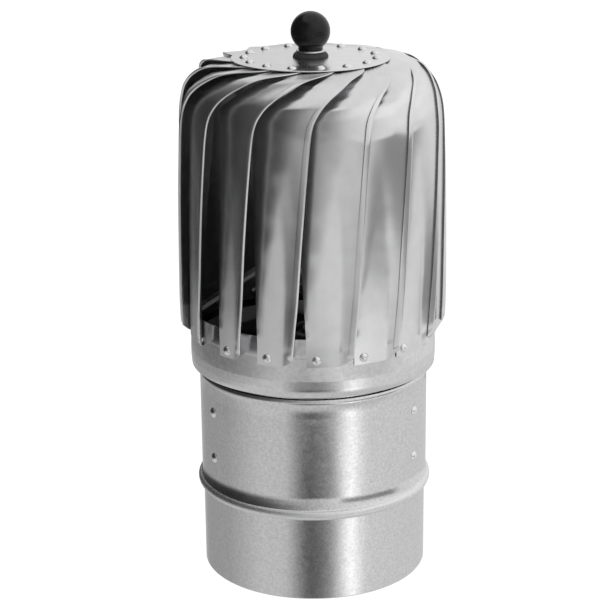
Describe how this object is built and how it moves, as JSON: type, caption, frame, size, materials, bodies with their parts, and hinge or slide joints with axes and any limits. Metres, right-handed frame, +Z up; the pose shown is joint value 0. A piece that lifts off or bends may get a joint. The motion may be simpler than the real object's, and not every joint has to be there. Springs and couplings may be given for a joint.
{
  "type": "roof turbine ventilator",
  "caption": "Wind-driven roof ventilator: swept vanes between a riveted ring and a top disc with a ball knob, spinning in bearings over a straight duct spigot.",
  "frame": {"origin": "centre of the duct spigot's lower rim", "axes": "+Z up along the rotor axis; -Y is the front; +X to the right seen from the front"},
  "size_m": [0.1726, 0.1726, 0.369],
  "materials": {
    "galvanised": "satin galvanised sheet with faint spangle",
    "ring_metal": "satin bright sheet",
    "vane_mirror": "mirror-polished stainless sheet",
    "disc_metal": "glossy pale sheet",
    "rivet_metal": "bright",
    "zinc_strap": "zinc plated",
    "housing_metal": "machined",
    "plated_steel": "bright zinc plated",
    "axle_steel": "turned",
    "bearing_steel": "ground",
    "cage_steel": "pressed sheet",
    "spring_steel": "oiled dark",
    "rubber_black": "matt black",
    "black_plastic": "semi-gloss moulded black",
    "brass_insert": "turned"
  },
  "bodies": {
    "base": {"base_tube": "galvanised", "bracket_leg_1": "zinc_strap", "bracket_leg_2": "zinc_strap", "bracket_leg_3": "zinc_strap", "bracket_rivets": "rivet_metal", "bearing_housing": "housing_metal", "housing_bolts": "plated_steel", "housing_nuts": "plated_steel", "lower_bearing_outer_race": "bearing_steel", "upper_bearing_outer_race": "bearing_steel", "lower_bearing_shields": "cage_steel", "upper_bearing_shields": "cage_steel", "lower_retaining_ring": "spring_steel", "upper_retaining_ring": "spring_steel"},
    "rotor": {"lower_bearing_inner_race": "bearing_steel", "upper_bearing_inner_race": "bearing_steel", "axle": "axle_steel", "bearing_spacer": "plated_steel", "axle_washer": "plated_steel", "axle_locknut": "plated_steel", "spider_hub": "housing_metal", "hub_set_screw": "plated_steel", "spider_arm_1": "zinc_strap", "spider_arm_2": "zinc_strap", "spider_arm_3": "zinc_strap", "arm_bolts": "plated_steel", "arm_nuts": "plated_steel", "arm_rivets": "rivet_metal", "rotor_ring": "ring_metal", "weather_skirt": "ring_metal", "ring_rivets": "rivet_metal", "vane_01": "vane_mirror", "vane_02": "vane_mirror", "vane_03": "vane_mirror", "vane_04": "vane_mirror", "vane_05": "vane_mirror", "vane_06": "vane_mirror", "vane_07": "vane_mirror", "vane_08": "vane_mirror", "vane_09": "vane_mirror", "vane_10": "vane_mirror", "vane_11": "vane_mirror", "vane_12": "vane_mirror", "vane_13": "vane_mirror", "vane_14": "vane_mirror", "vane_15": "vane_mirror", "top_disc": "disc_metal", "disc_rivets": "rivet_metal", "disc_washer": "plated_steel", "disc_nut": "plated_steel", "seal_collar": "rubber_black", "knob_washer": "plated_steel", "ball_knob": "black_plastic", "knob_insert": "brass_insert"},
    "lower_ball_set": {"lower_bearing_balls": "bearing_steel", "lower_bearing_cage": "cage_steel"},
    "upper_ball_set": {"upper_bearing_balls": "bearing_steel", "upper_bearing_cage": "cage_steel"}
  },
  "joints": [
    {"name": "rotor_spin", "type": "hinge", "parent": "base", "child": "rotor", "pos_m": [0, 0, 0.153], "axis": [0, 0, 1], "continuous": true},
    {"name": "lower_cage_spin", "type": "hinge", "parent": "base", "child": "lower_ball_set", "pos_m": [0, 0, 0.111], "axis": [0, 0, 1], "continuous": true},
    {"name": "upper_cage_spin", "type": "hinge", "parent": "base", "child": "upper_ball_set", "pos_m": [0, 0, 0.153], "axis": [0, 0, 1], "continuous": true}
  ],
  "couplings": [
    {"joint": "lower_cage_spin", "follows": "rotor_spin", "ratio": 0.3677},
    {"joint": "upper_cage_spin", "follows": "rotor_spin", "ratio": 0.3677}
  ]
}
